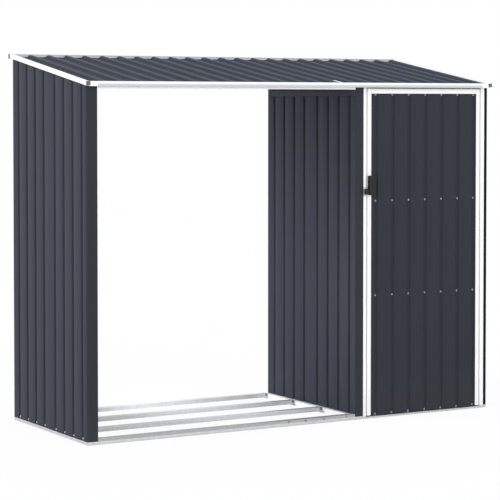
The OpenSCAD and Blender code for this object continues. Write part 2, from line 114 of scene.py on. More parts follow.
# %% [markdown]
# ## Formed folds
# A real sheet or channel is bent over a former, so its folds are rounded and catch a line of light. The
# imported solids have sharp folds, which is right for building but looks cut from card. A bevel modifier over
# all edges would also round the cut rims of a sheet one millimetre thick and choke on them.
# So each piece is copied, its triangles are welded back to flat faces, and only its long folds are selected
# and bevelled: edges at least about half as long as the longest, between two faces that are wider than the
# sheet is thick.

# %% Round the folds of sheets and channels
WELD = 0.01 * MM
FLAT = math.radians(0.3)
LEAST_FACE = 2.4 * MM
FOLD_SEGMENTS = 3
LEAST_ANGLE = math.radians(20)
LEAST_LENGTH_SHARE = 0.45


def face_width(face, edge):
    """Width of a long face across one of its edges."""
    return face.calc_area() / edge.calc_length()


def is_fold(edge, longest):
    """True for a long edge between two faces that are wider than the sheet's rim."""
    if len(edge.link_faces) != 2 or edge.calc_length() < LEAST_LENGTH_SHARE * longest:
        return False
    if edge.calc_face_angle() < LEAST_ANGLE:
        return False
    return all(face_width(face, edge) > LEAST_FACE for face in edge.link_faces)


def formed(name, radius):
    """A copy of a packed sheet or channel with rounded folds, which stands for it."""
    piece = bpy.data.objects.new(name + "_formed", nodes[name].data.copy())
    bpy.context.scene.collection.objects.link(piece)
    open_edit(piece, "EDGE")
    bpy.ops.mesh.select_all(action="SELECT")
    bpy.ops.mesh.remove_doubles(threshold=WELD)
    bpy.ops.mesh.dissolve_limited(angle_limit=FLAT)
    bpy.ops.mesh.select_all(action="DESELECT")
    shape = bmesh.from_edit_mesh(piece.data)
    longest = max(edge.calc_length() for edge in shape.edges)
    folds = [edge for edge in shape.edges if is_fold(edge, longest)]
    for edge in folds:
        edge.select_set(True)
    bmesh.update_edit_mesh(piece.data)
    fold_count = len(folds)
    bpy.ops.mesh.bevel(offset=radius, segments=FOLD_SEGMENTS, affect="EDGES")
    close_edit()
    shade(piece)
    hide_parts(name)
    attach(piece, body_of[name])
    return piece, fold_count


SHEET_RADIUS = 2.2 * MM
CHANNEL_RADIUS = 1.0 * MM
UPRIGHT_RADIUS = 2.5 * MM
SILL_RADIUS = 3.0 * MM
sheet_names = [name for name in nodes if name.endswith("_sheet")]
channel_words = ("sill", "rail", "flange", "post", "header", "beam", "verge", "trim_left", "trim_right",
                 "stile", "back_trim")
channel_names = [name for name in nodes
                 if name not in sheet_names and any(word in name for word in channel_words)]
formed_pieces = {}
for name in sheet_names:
    formed_pieces[name], count = formed(name, SHEET_RADIUS)
    print("rolled", name, "with", count, "folds")
for name in channel_names:
    radius = CHANNEL_RADIUS
    if "post" in name or "stile" in name:
        radius = UPRIGHT_RADIUS
    if name in ("left_sill", "right_sill"):
        radius = SILL_RADIUS
    formed_pieces[name], count = formed(name, radius)
    print("folded", name, "with", count, "folds")

# %% [markdown]
# ## Screws
# The sheets are held by pan head screws on washers, driven through the floors of the grooves, and the front
# floor rail has a few too. One screw is drawn up from a disc: the disc is raised to a washer, inset and
# raised again for the head, drawn in for the dome and sunk for the driver. The copies are then joined to one
# piece for each wall, one for the door and one for the rail.

# %% Model one screw
WASHER_R = 5.2 * MM
WASHER_T = 2.4 * MM
WASHER_SIDE_SHARE = 0.6
WASHER_TOP_SHARE = 0.94
HEAD_R = 3.8 * MM
HEAD_SIDE = 1.1 * MM
DOME = 0.9 * MM
DOME_SHARE = 0.72
RECESS_R = 1.5 * MM
RECESS_RIM = 0.15 * MM
RECESS_DEPTH = 0.9 * MM
RECESS_SHARE = 0.7
SCREW_SIDES = 16


def raise_top(height, share=1.0):
    """Extrudes the selected top face and draws it in to a share of its width."""
    bpy.ops.mesh.extrude_region_move(TRANSFORM_OT_translate={"value": (0.0, 0.0, height)})
    bpy.ops.transform.resize(value=(share, share, 1.0), center_override=(0.0, 0.0, 0.0))


def make_screw():
    """A screw head on its washer, standing on the origin along Z."""
    bpy.ops.object.select_all(action="DESELECT")
    bpy.ops.mesh.primitive_circle_add(vertices=SCREW_SIDES, radius=WASHER_R, fill_type="NGON")
    screw = bpy.context.active_object
    screw.name = "screw_pattern"
    open_edit(screw, "FACE")
    bpy.ops.mesh.select_all(action="SELECT")
    raise_top(WASHER_T * WASHER_SIDE_SHARE)
    raise_top(WASHER_T * (1.0 - WASHER_SIDE_SHARE), WASHER_TOP_SHARE)
    bpy.ops.mesh.inset(thickness=WASHER_R * WASHER_TOP_SHARE - HEAD_R, depth=0.0)
    raise_top(HEAD_SIDE)
    raise_top(DOME, DOME_SHARE)
    bpy.ops.mesh.inset(thickness=HEAD_R * DOME_SHARE - RECESS_R, depth=RECESS_RIM)
    raise_top(-RECESS_DEPTH, RECESS_SHARE)
    bpy.ops.mesh.select_all(action="SELECT")
    bpy.ops.mesh.normals_make_consistent(inside=False)
    close_edit()
    return screw


screw_pattern = make_screw()
print("one screw has", len(screw_pattern.data.polygons), "faces")

# %% Find the groove floors of a sheet
GROOVE_DEPTH = 7 * MM
NEAR = 0.2 * MM


def groove_floors(name, along, across, face):
    """Middles of the groove floors of a packed sheet, measured along one axis.

    across is the axis that the grooves are sunk on, and face says which side of it is the outer one."""
    low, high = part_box(name)
    outer = low[across] if face < 0 else high[across]
    floor = outer - face * GROOVE_DEPTH
    marks = sorted({round(vertex.co[along], 4) for vertex in nodes[name].data.vertices
                    if abs(vertex.co[across] - floor) < NEAR})
    return [(start + end) / 2 for start, end in zip(marks[0::2], marks[1::2])], floor


X, Y = 0, 1
door_grooves, door_floor = groove_floors("door_sheet", X, Y, -1)
print("door grooves", [round(x, 4) for x in door_grooves], "floor at", round(door_floor, 4))
wall_rows = {}
for wall, face in (("left_wall", -1), ("right_wall", 1)):
    front, front_floor = groove_floors(wall + "_front_sheet", Y, X, face)
    back, back_floor = groove_floors(wall + "_back_sheet", Y, X, face)
    wall_rows[wall] = [(front_floor, y) for y in front] + [(back_floor, y) for y in back]
    print(wall, "grooves", len(wall_rows[wall]))
back_grooves, back_floor = groove_floors("back_wall_sheet", X, Y, 1)
print("back wall grooves", len(back_grooves))

# %% Drive the screws
OUT_FRONT = Matrix.Rotation(math.radians(90), 4, "X")
OUT_BACK = Matrix.Rotation(math.radians(-90), 4, "X")
OUT_LEFT = Matrix.Rotation(math.radians(-90), 4, "Y")
OUT_RIGHT = Matrix.Rotation(math.radians(90), 4, "Y")
SCREW_RISE = 10 * MM
WALL_SCREW_SHIFT = 2 * MM
DOOR_LOW_RISE = 5.5 * MM
DOOR_LOWER_ROW = 611 * MM
DOOR_UPPER_ROW = 1081 * MM
DOOR_HIGH_DROP = 5.5 * MM


def joined_copies(pattern, places, name):
    """Copies of one shape at many places, each with its own mesh, joined to one piece."""
    copies = []
    for place in places:
        mesh = pattern.data.copy()
        mesh.transform(place)
        copy = bpy.data.objects.new(name, mesh)
        bpy.context.scene.collection.objects.link(copy)
        copies.append(copy)
    bpy.ops.object.select_all(action="DESELECT")
    for copy in copies:
        copy.select_set(True)
    bpy.context.view_layer.objects.active = copies[0]
    bpy.ops.object.join()
    copies[0].name = name
    return copies[0]


def at(x, y, z, turn):
    """A place with the screw's axis turned outwards."""
    return Matrix.Translation((x, y, z)) @ turn


cross_low, cross_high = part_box("door_cross_rails")
SILL_H = 15 * MM
sill_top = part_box("left_sill")[0].z + SILL_H
door_rows = [cross_low.z + DOOR_LOW_RISE, DOOR_LOWER_ROW, DOOR_UPPER_ROW, cross_high.z - DOOR_HIGH_DROP]
door_screws = joined_copies(
    screw_pattern, [at(x, door_floor, z, OUT_FRONT) for z in door_rows for x in door_grooves], "door_screws")
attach(door_screws, "door")
screw_pieces = [door_screws]
wall_screw_pieces = []
for wall, turn in (("left_wall", OUT_LEFT), ("right_wall", OUT_RIGHT)):
    places = [at(x, y + WALL_SCREW_SHIFT, sill_top + SCREW_RISE, turn) for x, y in wall_rows[wall]]
    piece = joined_copies(screw_pattern, places, wall + "_screws")
    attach(piece, "store")
    wall_screw_pieces.append(piece)
back_places = [at(x, back_floor, sill_top + SCREW_RISE, OUT_BACK) for x in back_grooves]
back_screws = joined_copies(screw_pattern, back_places, "back_wall_screws")
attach(back_screws, "store")
wall_screw_pieces.append(back_screws)
RAIL_SCREWS_FROM_END = (382 * MM, 285 * MM, 182 * MM, 48 * MM)
front_rail_low, front_rail_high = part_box("floor_rail_1")
rail_screw_z = (front_rail_low.z + front_rail_high.z) / 2
rail_places = [at(front_rail_high.x - inset, front_rail_low.y, rail_screw_z, OUT_FRONT)
               for inset in RAIL_SCREWS_FROM_END]
rail_screws = joined_copies(screw_pattern, rail_places, "front_rail_screws")
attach(rail_screws, "store")
screw_pieces.append(rail_screws)
bpy.data.objects.remove(screw_pattern)
for piece in screw_pieces + wall_screw_pieces:
    shade(piece)
    print(piece.name, len(piece.data.polygons), "faces")

# %% [markdown]
# ## Latch
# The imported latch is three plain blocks. Each is modelled again in its own box: a block is drawn out to the
# box and its edges are rounded. The case then gets a sunk panel with grip ridges, and the keeper a rim around
# a sunk middle, by an inset of the front face. The tongue has a rounded end.

# %% Blocks that are worked on
def block(name, low, high):
    """A cube drawn out to a box, with its place in its mesh."""
    low, high = Vector(low), Vector(high)
    bpy.ops.object.select_all(action="DESELECT")
    bpy.ops.mesh.primitive_cube_add(size=1.0)
    piece = bpy.context.active_object
    piece.name = name
    open_edit(piece, "FACE")
    bpy.ops.mesh.select_all(action="SELECT")
    bpy.ops.transform.resize(value=high - low, center_override=(0.0, 0.0, 0.0))
    bpy.ops.transform.translate(value=(low + high) / 2)
    close_edit()
    return piece


ROUND_SEGMENTS = 3
FACES_FRONT = -0.99


def rounded(piece, radius, test):
    """Rounds the edges whose two ends pass a test."""
    shape = open_edit(piece, "EDGE")
    for edge in shape.edges:
        edge.select_set(test(*(corner.co for corner in edge.verts)))
    bmesh.update_edit_mesh(piece.data)
    bpy.ops.mesh.bevel(offset=radius, segments=ROUND_SEGMENTS, affect="EDGES")
    close_edit()


def sink_front(piece, rim, depth):
    """Insets the largest front face by a rim and sinks what is left of it."""
    shape = open_edit(piece, "FACE")
    fronts = [face for face in shape.faces if face.normal.y < FACES_FRONT]
    front = max(fronts, key=lambda face: face.calc_area())
    front.select_set(True)
    bmesh.update_edit_mesh(piece.data)
    bpy.ops.mesh.inset(thickness=rim, depth=0.0)
    bpy.ops.mesh.extrude_region_move(TRANSFORM_OT_translate={"value": (0.0, depth, 0.0)})
    close_edit()


def stands_for(piece, name):
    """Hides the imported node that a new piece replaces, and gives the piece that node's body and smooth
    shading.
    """
    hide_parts(name)
    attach(piece, body_of[name])
    shade(piece)


# %% Latch case, tongue and keeper
EDGE_R = 2.0 * MM
CASE_RIM = 1.6 * MM
CASE_SINK = 0.8 * MM
KEEPER_R = 3 * MM
KEEPER_RIM = 2.2 * MM
KEEPER_SINK = 0.8 * MM
case_low, case_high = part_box("latch_case")
case = block("latch_case_moulded", case_low, case_high)
rounded(case, EDGE_R, lambda a, b: min(a.y, b.y) < case_low.y + NEAR)
sink_front(case, CASE_RIM, CASE_SINK)
stands_for(case, "latch_case")

GRIP_W = 14 * MM
GRIP_H = 5 * MM
GRIP_PITCH = 8 * MM
GRIP_ROOT = 2.4 * MM
GRIP_R = 0.7 * MM
GRIP_COUNT = 5
case_middle = (Vector(case_low) + Vector(case_high)) / 2
grip_face = case_low.y + CASE_SINK
for index in range(GRIP_COUNT):
    z = case_middle.z + (index - (GRIP_COUNT - 1) / 2) * GRIP_PITCH
    ridge = block("latch_grip", (case_middle.x - GRIP_W / 2, grip_face - CASE_SINK, z - GRIP_H / 2),
                  (case_middle.x + GRIP_W / 2, grip_face + GRIP_ROOT, z + GRIP_H / 2))
    rounded(ridge, GRIP_R, lambda a, b: max(a.y, b.y) < grip_face)
    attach(ridge, "door")
    shade(ridge)

tongue_low, tongue_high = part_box("latch_tongue")
tongue = block("latch_tongue_moulded", tongue_low, tongue_high)
rounded(tongue, EDGE_R, lambda a, b: max(a.x, b.x) < tongue_low.x + NEAR or
        (max(a.y, b.y) < tongue_low.y + NEAR and abs(a.x - b.x) > NEAR))
stands_for(tongue, "latch_tongue")

keeper_low, keeper_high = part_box("latch_keeper")
keeper = block("latch_keeper_moulded", keeper_low, keeper_high)
rounded(keeper, KEEPER_R, lambda a, b: abs(a.y - b.y) > NEAR)
sink_front(keeper, KEEPER_RIM, KEEPER_SINK)
stands_for(keeper, "latch_keeper")
latch_pieces = [piece for piece in bpy.data.objects
                if piece.name.startswith("latch_") and piece.name not in nodes and piece != keeper]
print("latch pieces", len(latch_pieces))

# %% [markdown]
# ## Rail ends
# Behind the front one, the floor rails end at the base channel under the partition, with a small grey plate
# at
# the end of each: painted shade, standing for the dark open end of the rail. It is a thin plate with rounded
# corners and a sunk middle on the front of the rail.

# %% Rail end plates of painted shade
PLUG_T = 0.8 * MM
PLUG_W = 14 * MM
PLUG_R = 2 * MM
PLUG_RIM = 1.5 * MM
PLUG_SINK = 0.3 * MM
plug_pieces = []
# Each plate is painted shade: a grey plate on the rail's end face, where the open end would be dark.
for name in ("floor_rail_2", "floor_rail_3", "floor_rail_4"):
    rail_low, rail_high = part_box(name)
    plug = block(name + "_plug", (rail_high.x - PLUG_W, rail_low.y - PLUG_T, sill_top),
                 (rail_high.x, rail_low.y, rail_high.z))
    rounded(plug, PLUG_R, lambda a, b: abs(a.y - b.y) > PLUG_T / 2)
    sink_front(plug, PLUG_RIM, PLUG_SINK)
    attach(plug, "store")
    shade(plug)
    plug_pieces.append(plug)
print("rail end shade plates", len(plug_pieces))

# %% [markdown]
# ## Finishes
# Every finish reads Object coordinates. The pieces sit at the origin with their place in their mesh, so
# these coordinates are metres in the store's own frame, and a pattern keeps its real size on every piece.
# Effects that several finishes share are node groups: they put out colours, values and heights, while the
# shader itself stays in each material.

# %% Node helpers
def new_group(name, inputs, outputs):
    """An empty shader node group with named sockets."""
    group = bpy.data.node_groups.new(name, "ShaderNodeTree")
    for kind, socket in inputs:
        group.interface.new_socket(name=socket, in_out="INPUT", socket_type="NodeSocket" + kind)
    for kind, socket in outputs:
        group.interface.new_socket(name=socket, in_out="OUTPUT", socket_type="NodeSocket" + kind)
    return group, group.nodes.new("NodeGroupInput"), group.nodes.new("NodeGroupOutput")


def math_node(tree, operation, first, second):
    """A Math node whose inputs are sockets or numbers."""
    node = tree.nodes.new("ShaderNodeMath")
    node.operation = operation
    for socket, value in zip(node.inputs, (first, second)):
        if isinstance(value, (int, float)):
            socket.default_value = value
        else:
            tree.links.new(value, socket)
    return node.outputs[0]


def noise_node(tree, vector, scale, detail):
    """A noise texture on a vector; its mean is about one half."""
    node = tree.nodes.new("ShaderNodeTexNoise")
    node.inputs["Scale"].default_value = scale
    node.inputs["Detail"].default_value = detail
    tree.links.new(vector, node.inputs["Vector"])
    return node.outputs["Fac"]


def spread(tree, value, amount, middle):
    """A value with mean one half, spread by an amount about a new middle."""
    centred = math_node(tree, "SUBTRACT", value, 0.5)
    scaled = math_node(tree, "MULTIPLY", centred, amount)
    return math_node(tree, "ADD", scaled, middle)


def stretched(tree, vector, scale):
    """Coordinates scaled by an amount along each axis."""
    node = tree.nodes.new("ShaderNodeMapping")
    node.inputs["Scale"].default_value = scale
    tree.links.new(vector, node.inputs["Vector"])
    return node.outputs["Vector"]


def tinted(tree, colour, value):
    """A colour made lighter or darker by a value about one."""
    node = tree.nodes.new("ShaderNodeHueSaturation")
    tree.links.new(colour, node.inputs["Color"])
    tree.links.new(value, node.inputs["Value"])
    return node.outputs["Color"]


print("node helpers ready")

# %% Group: coil coating with rolling streaks and fine speckle
def coil_coat_group():
    """Colour, roughness and height of a coat that was rolled on along the sheet."""
    group, start, end = new_group(
        "Coil coat",
        [("Vector", "Along"), ("Vector", "Place"), ("Color", "Colour"), ("Float", "Streaks"),
         ("Float", "Gloss")],
        [("Color", "Colour"), ("Float", "Roughness"), ("Float", "Height")])
    streak = noise_node(group, start.outputs["Along"], scale=1.0, detail=3.0)
    cloud = noise_node(group, start.outputs["Place"], scale=2.3, detail=2.0)
    speck = noise_node(group, start.outputs["Place"], scale=900.0, detail=1.0)
    tone = spread(group, streak, amount=start.outputs["Streaks"], middle=1.0)
    soft = spread(group, cloud, amount=0.10, middle=0.0)
    fine = spread(group, speck, amount=0.10, middle=0.0)
    value = math_node(group, "ADD", tone, math_node(group, "ADD", soft, fine))
    group.links.new(tinted(group, start.outputs["Colour"], value), end.inputs["Colour"])
    rough = spread(group, streak, amount=0.16, middle=0.0)
    group.links.new(math_node(group, "ADD", rough, start.outputs["Gloss"]), end.inputs["Roughness"])
    group.links.new(speck, end.inputs["Height"])
    return group


# %% Group: dust that settles low on the store
DUST_DULLING = 0.3


def ground_dust_group():
    """Lightens and dulls a finish near the ground, broken up by noise."""
    group, start, end = new_group(
        "Ground dust",
        [("Vector", "Place"), ("Color", "Colour"), ("Float", "Roughness"), ("Color", "Dust"),
         ("Float", "Reach"), ("Float", "Amount")],
        [("Color", "Colour"), ("Float", "Roughness")])
    parts = group.nodes.new("ShaderNodeSeparateXYZ")
    group.links.new(start.outputs["Place"], parts.inputs[0])
    height = math_node(group, "DIVIDE", parts.outputs["Z"], start.outputs["Reach"])
    low = math_node(group, "SUBTRACT", 1.0, height)
    node = group.nodes.new("ShaderNodeClamp")
    group.links.new(low, node.inputs["Value"])
    broken = noise_node(group, start.outputs["Place"], scale=35.0, detail=4.0)
    mask = math_node(group, "MULTIPLY", math_node(group, "MULTIPLY", node.outputs[0], broken),
                     start.outputs["Amount"])
    mix = group.nodes.new("ShaderNodeMix")
    mix.data_type = "RGBA"
    group.links.new(mask, mix.inputs["Factor"])
    group.links.new(start.outputs["Colour"], mix.inputs["A"])
    group.links.new(start.outputs["Dust"], mix.inputs["B"])
    group.links.new(mix.outputs["Result"], end.inputs["Colour"])
    dulled = math_node(group, "MULTIPLY", mask, DUST_DULLING)
    rough = math_node(group, "ADD", start.outputs["Roughness"], dulled)
    group.links.new(rough, end.inputs["Roughness"])
    return group


# %% Group: zinc spangle
CRYSTALS_PER_METRE = 110.0
DRAWN_ALONG = (3.0, 160.0, 160.0)


def spangle_group():
    """Crystal facets of a hot-dip zinc coat: each facet has its own tone and gloss."""
    group, start, end = new_group(
        "Zinc spangle",
        [("Vector", "Place"), ("Color", "Colour"), ("Float", "Contrast"), ("Float", "Gloss")],
        [("Color", "Colour"), ("Float", "Roughness"), ("Float", "Height")])
    cells = group.nodes.new("ShaderNodeTexVoronoi")
    cells.inputs["Scale"].default_value = CRYSTALS_PER_METRE
    cells.inputs["Randomness"].default_value = 1.0
    group.links.new(start.outputs["Place"], cells.inputs["Vector"])
    parts = group.nodes.new("ShaderNodeSeparateColor")
    group.links.new(cells.outputs["Color"], parts.inputs[0])
    facet = parts.outputs[0]
    lengthwise = stretched(group, start.outputs["Place"], DRAWN_ALONG)
    drawn = noise_node(group, lengthwise, scale=1.0, detail=2.0)
    tone = spread(group, facet, amount=start.outputs["Contrast"], middle=1.0)
    value = math_node(group, "ADD", tone, spread(group, drawn, amount=0.10, middle=0.0))
    group.links.new(tinted(group, start.outputs["Colour"], value), end.inputs["Colour"])
    rough = spread(group, parts.outputs[1], amount=0.18, middle=0.0)
    group.links.new(math_node(group, "ADD", rough, start.outputs["Gloss"]), end.inputs["Roughness"])
    group.links.new(facet, end.inputs["Height"])
    return group


# %% Group: moulded grain
def moulded_grain_group():
    """Fine leathery grain of moulded plastic, with a slight change of tone."""
    group, start, end = new_group(
        "Moulded grain",
        [("Vector", "Place"), ("Color", "Colour"), ("Float", "Gloss")],
        [("Color", "Colour"), ("Float", "Roughness"), ("Float", "Height")])
    grain = noise_node(group, start.outputs["Place"], scale=1400.0, detail=3.0)
    cloud = noise_node(group, start.outputs["Place"], scale=60.0, detail=2.0)
    value = spread(group, cloud, amount=0.25, middle=1.0)
    group.links.new(tinted(group, start.outputs["Colour"], value), end.inputs["Colour"])
    rough = spread(group, cloud, amount=0.2, middle=0.0)
    group.links.new(math_node(group, "ADD", rough, start.outputs["Gloss"]), end.inputs["Roughness"])
    group.links.new(grain, end.inputs["Height"])
    return group


# %% Group: painted shade in the grooves of a ribbed sheet
def groove_painted_shade_group():
    """Darkens a finish with the distance in from a sheet's outer face, measured along an axis: painted shade
    in the grooves.
    """
    group, start, end = new_group(
        "Groove painted shade",
        [("Vector", "Place"), ("Vector", "Axis"), ("Color", "Colour"), ("Float", "Face"), ("Float", "Depth"),
         ("Float", "Amount")],
        [("Color", "Colour")])
    along = group.nodes.new("ShaderNodeVectorMath")
    along.operation = "DOT_PRODUCT"
    group.links.new(start.outputs["Place"], along.inputs[0])
    group.links.new(start.outputs["Axis"], along.inputs[1])
    inwards = math_node(group, "SUBTRACT", along.outputs["Value"], start.outputs["Face"])
    sunk = math_node(group, "DIVIDE", math_node(group, "ABSOLUTE", inwards, 0.0), start.outputs["Depth"])
    share = math_node(group, "MULTIPLY", math_node(group, "MINIMUM", sunk, 1.0), start.outputs["Amount"])
    value = math_node(group, "SUBTRACT", 1.0, share)
    group.links.new(tinted(group, start.outputs["Colour"], value), end.inputs["Colour"])
    return group


groups = {"coat": coil_coat_group(), "dust": ground_dust_group(), "zinc": spangle_group(),
          "grain": moulded_grain_group(), "painted_shade": groove_painted_shade_group()}
print("shared groups", [group.name for group in groups.values()])

# %% Material helpers
def new_material(name, specular, metallic=0.0):
    """A node material, its tree, its shader and Object coordinates."""
    material = bpy.data.materials.new(name)
    material.use_nodes = True
    tree = material.node_tree
    shader = tree.nodes["Principled BSDF"]
    shader.inputs["Specular IOR Level"].default_value = specular
    shader.inputs["Metallic"].default_value = metallic
    place = tree.nodes.new("ShaderNodeTexCoord").outputs["Object"]
    return material, tree, shader, place


def use_group(tree, group, values):
    """Places a shared group and sets its inputs from sockets, colours or numbers."""
    node = tree.nodes.new("ShaderNodeGroup")
    node.node_tree = group
    for name, value in values.items():
        if isinstance(value, bpy.types.NodeSocket):
            tree.links.new(value, node.inputs[name])
        else:
            node.inputs[name].default_value = value
    return node


def bump(tree, shader, height, strength, distance):
    """Sends a height to the shader's normal."""
    node = tree.nodes.new("ShaderNodeBump")
    node.inputs["Strength"].default_value = strength
    node.inputs["Distance"].default_value = distance
    tree.links.new(height, node.inputs["Height"])
    tree.links.new(node.outputs["Normal"], shader.inputs["Normal"])


print("material helpers ready")

# %% [markdown]
# ## The coated sheets and the white frame
# The dark sheets are coil coated steel: satin, nearly even, with faint streaks along the rolling direction
# and a speckle that only shows close up. The streaks run up the walls but down the slope of the roof, so the
# same group is fed with coordinates stretched another way. The door and the front flanges get a darker, less
# blue copy of the coat: painted shade on the pieces that face the front. The roof gets a lighter copy:
# painted light on its upper faces. Grooves in the walls and the flats between the roof's ribs are darkened by
# a group of painted shade. White frame pieces are coated the same way, with less streaking and more gloss.
# The header gets a lighter copy, which is painted light under the eave, and the eave's lower face and the
# back trim a greyer one, which is painted shade.

# %% Coated finishes
ANTHRACITE = (0.0265, 0.0310, 0.0455, 1.0)
# Painted light: the roof's copy of the coat is much lighter than the walls' one, for its faces that look up.
ROOF_PAINTED_LIGHT_ANTHRACITE = (0.0672, 0.0791, 0.1086, 1.0)
WHITE = (0.93, 0.93, 0.94, 1.0)
# Painted light: a lighter white for the header, which stands in the eave's shade.
HEADER_PAINTED_LIGHT_WHITE = (0.95, 0.95, 0.96, 1.0)
# Painted shade: a greyer copy of the white coat for faces that do not look up.
EAVE_PAINTED_SHADE_WHITE = (0.58, 0.59, 0.62, 1.0)
# Painted shade: a darker, less blue copy of the coat for the pieces that face the front.
FRONT_SHADED_ANTHRACITE = (0.0262, 0.0290, 0.0385, 1.0)
DUST = (0.30, 0.28, 0.26, 1.0)
DUST_REACH = 0.22
COAT_BUMP = 0.12
FINE_DEPTH = 0.05 * MM
DARK_COAT = {"streaks": 0.16, "gloss": 0.46, "specular": 0.12, "dust": 0.05}
ROOF_COAT = {"streaks": 0.16, "gloss": 0.55, "specular": 0.04, "dust": 0.0}
WHITE_COAT = {"streaks": 0.03, "gloss": 0.36, "specular": 0.4, "dust": 0.03}
CLEAN_WHITE_COAT = {"streaks": 0.03, "gloss": 0.36, "specular": 0.4, "dust": 0.0}


def coated(name, colour, stretch, streaks, gloss, specular, dust, painted_shade=None):
    """A coil coated finish with streaks along one axis, dust low down and, where asked, painted shade in its
    grooves.

    The painted shade argument holds the axis that the grooves are sunk on, the outer face on it, their depth
    and an amount."""
    material, tree, shader, place = new_material(name, specular)
    along = stretched(tree, place, stretch)
    coat = use_group(tree, groups["coat"], {
        "Along": along, "Place": place, "Colour": colour, "Streaks": streaks, "Gloss": gloss})
    tone = coat.outputs["Colour"]
    # Painted shade: the colour is darkened with the depth below the sheet's outer face.
    if painted_shade:
        axis, face, depth, amount = painted_shade
        painted_shade_node = use_group(tree, groups["painted_shade"], {
            "Place": place, "Axis": axis, "Colour": tone, "Face": face, "Depth": depth, "Amount": amount})
        tone = painted_shade_node.outputs["Colour"]
    dusty = use_group(tree, groups["dust"], {
        "Place": place, "Colour": tone, "Roughness": coat.outputs["Roughness"],
        "Dust": DUST, "Reach": DUST_REACH, "Amount": dust})
    tree.links.new(dusty.outputs["Colour"], shader.inputs["Base Color"])
    tree.links.new(dusty.outputs["Roughness"], shader.inputs["Roughness"])
    bump(tree, shader, coat.outputs["Height"], COAT_BUMP, FINE_DEPTH)
    return material


ACROSS_WALL = Vector((1.0, 0.0, 0.0))
UP_WALL = (55.0, 55.0, 1.1)
DOWN_ROOF = (55.0, 1.1, 3.0)
ALONG_X = (1.1, 55.0, 55.0)
wall_finish = coated("anthracite_wall", ANTHRACITE, UP_WALL, **DARK_COAT)
# Amounts of painted shade in the grooves of the end walls and the partition, and between the roof's ribs.
END_PAINTED_SHADE = 0.32
PARTITION_PAINTED_SHADE = 0.46
ROOF_PAINTED_SHADE = 0.58
wall_faces = {"left_wall": (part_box("left_wall_front_sheet")[0].x, END_PAINTED_SHADE),
              "partition": (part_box("partition_front_sheet")[0].x, PARTITION_PAINTED_SHADE),
              "right_wall": (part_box("right_wall_front_sheet")[1].x, END_PAINTED_SHADE)}
ribbed_shaded_finishes = {}
for wall, (face, amount) in wall_faces.items():
    ribbed_shaded_finishes[wall] = coated("anthracite_" + wall, ANTHRACITE, UP_WALL, **DARK_COAT,
                                   painted_shade=(ACROSS_WALL, face, GROOVE_DEPTH, amount))
ROOF_PITCH = math.radians(9.2)
RIB_HEIGHT = 10 * MM
across_roof = Vector((0.0, -math.sin(ROOF_PITCH), math.cos(ROOF_PITCH)))
crest = max(vertex.co.dot(across_roof) for vertex in nodes["roof_left_sheet"].data.vertices)
front_shaded_finish = coated("anthracite_front_painted_shade", FRONT_SHADED_ANTHRACITE, UP_WALL, **DARK_COAT)
# The roof: painted light in its lighter colour and painted shade in the flats between its ribs.
roof_lit_and_shaded_finish = coated("anthracite_roof", ROOF_PAINTED_LIGHT_ANTHRACITE, DOWN_ROOF, **ROOF_COAT,
                     painted_shade=(across_roof, crest, RIB_HEIGHT, ROOF_PAINTED_SHADE))
white_finish = coated("white_coat", WHITE, UP_WALL, **WHITE_COAT)
header_lit_finish = coated("header_painted_light_coat", HEADER_PAINTED_LIGHT_WHITE, ALONG_X, **CLEAN_WHITE_COAT)
eave_shaded_finish = coated("eave_painted_shade_coat", EAVE_PAINTED_SHADE_WHITE, ALONG_X, **CLEAN_WHITE_COAT)
print("coated finishes", wall_finish.name, front_shaded_finish.name, roof_lit_and_shaded_finish.name, white_finish.name,
      header_lit_finish.name, eave_shaded_finish.name)

# %% [markdown]
# ## Zinc and moulded pieces
# Base channels, floor rails, screws and the latch's keeper are galvanised: the zinc freezes in crystals about
# a centimetre wide, each with its own tone and gloss. The front rail gets a darker copy of the zinc, which is
# painted shade, and the rails behind it a lighter one, which is painted light. End caps, rail end plates and
# the latch are moulded plastic with a fine grain; the grey rail end plates are painted shade.

# %% Zinc and plastic finishes
ZINC_SPECULAR = 0.5
ZINC_BUMP = 0.08
GRAIN_BUMP = 0.25
GRAIN_DEPTH = 0.06 * MM
CHANNEL_ZINC = {"contrast": 0.10, "gloss": 0.42, "metallic": 0.35}
SCREW_ZINC = {"contrast": 0.06, "gloss": 0.35, "metallic": 0.5}
CAP_PLASTIC = {"gloss": 0.5, "specular": 0.4}
LATCH_PLASTIC = {"gloss": 0.6, "specular": 0.15}


def zinc(name, colour, contrast, gloss, metallic):
    """A hot-dip zinc finish."""
    material, tree, shader, place = new_material(name, ZINC_SPECULAR, metallic)
    coat = use_group(tree, groups["zinc"], {
        "Place": place, "Colour": colour, "Contrast": contrast, "Gloss": gloss})
    tree.links.new(coat.outputs["Colour"], shader.inputs["Base Color"])
    tree.links.new(coat.outputs["Roughness"], shader.inputs["Roughness"])
    bump(tree, shader, coat.outputs["Height"], ZINC_BUMP, FINE_DEPTH)
    return material


def moulded(name, colour, gloss, specular):
    """A moulded plastic finish."""
    material, tree, shader, place = new_material(name, specular)
    grain = use_group(tree, groups["grain"], {"Place": place, "Colour": colour, "Gloss": gloss})
    tree.links.new(grain.outputs["Colour"], shader.inputs["Base Color"])
    tree.links.new(grain.outputs["Roughness"], shader.inputs["Roughness"])
    bump(tree, shader, grain.outputs["Height"], GRAIN_BUMP, GRAIN_DEPTH)
    return material


zinc_finish = zinc("galvanised_steel", (0.56, 0.565, 0.58, 1.0), **CHANNEL_ZINC)
screw_finish = zinc("zinc_screw", (0.33, 0.33, 0.34, 1.0), **SCREW_ZINC)
